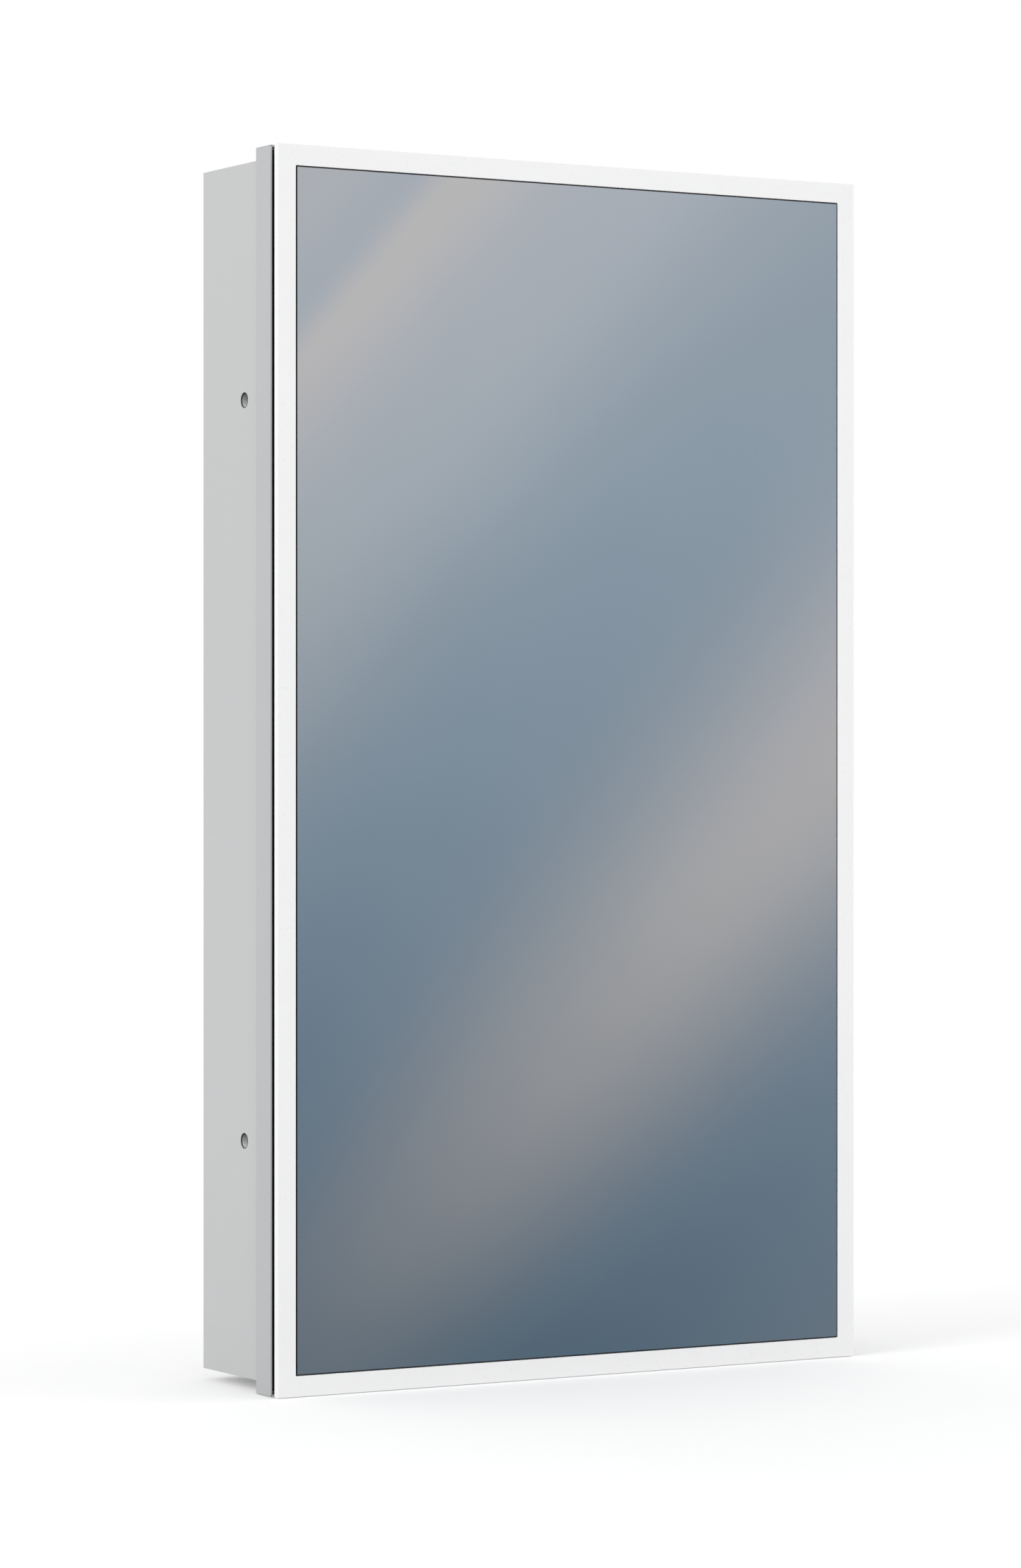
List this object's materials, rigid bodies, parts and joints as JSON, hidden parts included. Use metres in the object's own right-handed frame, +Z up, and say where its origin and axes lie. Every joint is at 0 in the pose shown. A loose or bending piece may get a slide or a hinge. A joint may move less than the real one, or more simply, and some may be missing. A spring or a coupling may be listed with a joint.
{
  "type": "mirror medicine cabinet",
  "caption": "Recessed medicine cabinet: lacquered carcass, trim frame, glass shelves, and one mirror door with a white border on a continuous right-hand hinge.",
  "frame": {"origin": "centre of the back panel's rear face", "axes": "the mirror door faces -Y; +Y is the back panel's outward normal; +Z is up; the door's hinge is on the +X side"},
  "size_m": [0.5, 0.132, 0.9],
  "materials": {
    "carcass_lacquer": "light grey satin lacquer on moisture-resistant board",
    "back_sheet": "light grey powder-coated sheet",
    "frame_aluminium": "light grey satin finish on extruded profile",
    "opal_border": "opal white satin",
    "mirror_glass": "silvered glass",
    "shelf_glass": "clear float glass with arrised edges",
    "door_tray": "plain rolled sheet",
    "bonding_foam": "dark bonding foam",
    "black_rubber": "matte black",
    "hinge_steel": "plain steel",
    "light_grey_plastic": "moulded, satin",
    "magnet": "dark sintered",
    "corner_key_zinc": "zinc-plated"
  },
  "bodies": {
    "cabinet": {"back_panel": "back_sheet", "bottom_panel": "carcass_lacquer", "catch_body_lower": "light_grey_plastic", "catch_body_upper": "light_grey_plastic", "catch_magnet_lower": "magnet", "catch_magnet_upper": "magnet", "catch_screw_lower": "hinge_steel", "catch_screw_upper": "hinge_steel", "corner_key_lower_left": "corner_key_zinc", "corner_key_lower_right": "corner_key_zinc", "corner_key_upper_left": "corner_key_zinc", "corner_key_upper_right": "corner_key_zinc", "door_seal": "black_rubber", "frame_bottom": "frame_aluminium", "frame_left": "frame_aluminium", "frame_right": "frame_aluminium", "frame_rivet_1": "hinge_steel", "frame_rivet_2": "hinge_steel", "frame_rivet_3": "hinge_steel", "frame_rivet_4": "hinge_steel", "frame_screw_1": "hinge_steel", "frame_screw_2": "hinge_steel", "frame_screw_3": "hinge_steel", "frame_screw_4": "hinge_steel", "frame_screw_5": "hinge_steel", "frame_screw_6": "hinge_steel", "frame_top": "frame_aluminium", "glass_shelf_1": "shelf_glass", "glass_shelf_2": "shelf_glass", "glass_shelf_3": "shelf_glass", "hinge_leaf_frame": "hinge_steel", "hinge_pin": "hinge_steel", "hole_cap_left_lower": "light_grey_plastic", "hole_cap_left_upper": "light_grey_plastic", "hole_cap_right_lower": "light_grey_plastic", "hole_cap_right_upper": "light_grey_plastic", "shelf_rail_1_left": "light_grey_plastic", "shelf_rail_1_right": "light_grey_plastic", "shelf_rail_2_left": "light_grey_plastic", "shelf_rail_2_right": "light_grey_plastic", "shelf_rail_3_left": "light_grey_plastic", "shelf_rail_3_right": "light_grey_plastic", "side_panel_left": "carcass_lacquer", "side_panel_right": "carcass_lacquer", "top_panel": "carcass_lacquer"},
    "door": {"door_border": "opal_border", "mirror_front": "mirror_glass", "foam_sheet": "bonding_foam", "door_tray": "door_tray", "mirror_inner": "mirror_glass", "hinge_leaf_door": "hinge_steel", "strike_plate_lower": "hinge_steel", "strike_plate_upper": "hinge_steel", "door_rivet_1": "hinge_steel", "door_rivet_2": "hinge_steel", "door_rivet_3": "hinge_steel", "door_rivet_4": "hinge_steel"}
  },
  "joints": [
    {"name": "door_hinge", "type": "hinge", "parent": "cabinet", "child": "door", "pos_m": [0.2484, -0.124, 0], "axis": [0, 0, 1], "range_deg": [0, 105]}
  ]
}
